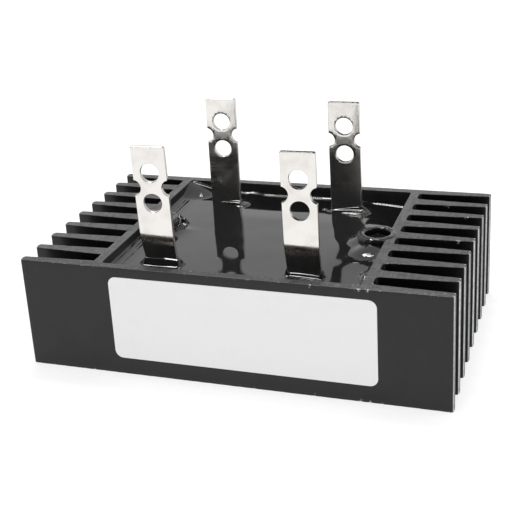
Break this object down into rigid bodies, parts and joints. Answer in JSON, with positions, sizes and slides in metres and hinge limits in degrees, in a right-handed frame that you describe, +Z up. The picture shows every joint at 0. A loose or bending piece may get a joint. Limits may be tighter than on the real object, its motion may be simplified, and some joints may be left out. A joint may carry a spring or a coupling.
{
  "type": "bridge rectifier",
  "caption": "Potted single-phase bridge rectifier in a black finned aluminium body, with tab terminals standing out of the top and screw holes through the body for a panel.",
  "frame": {"origin": "centre of the underside, where the body meets the panel", "axes": "+X along the body's length from the fins of one end to the fins of the other, +Z up along the terminals, the labelled front looks along -Y"},
  "size_m": [0.08, 0.0491, 0.0426],
  "materials": {
    "black_aluminium": "black satin coating on extruded aluminium, sawn ends showing lighter",
    "bare_aluminium": "plain rolled sheet",
    "bond": "cured heat-conducting adhesive",
    "ceramic": "unglazed alumina",
    "copper": "bare copper, stamped",
    "silicon": "passivated and metallised silicon",
    "tinned_copper": "bright tin plating over copper",
    "solder": "soft solder",
    "potting": "poured black epoxy with a glossy top",
    "label": "smooth white adhesive label, blank"
  },
  "bodies": {
    "root": {"heat_sink": "black_aluminium", "floor_plate": "bare_aluminium", "bond_layer": "bond", "ceramic_insulator": "ceramic", "pad_positive": "copper", "pad_ac_right": "copper", "pad_negative": "copper", "pad_ac_left": "copper", "diode_chip_1": "silicon", "diode_chip_2": "silicon", "diode_chip_3": "silicon", "diode_chip_4": "silicon", "link_1": "copper", "link_2": "copper", "link_3": "copper", "link_4": "copper", "terminal_positive": "tinned_copper", "terminal_ac_right": "tinned_copper", "terminal_negative": "tinned_copper", "terminal_ac_left": "tinned_copper", "chip_solder": "solder", "link_solder": "solder", "terminal_solder": "solder", "potting_compound": "potting", "label": "label"}
  },
  "joints": []
}
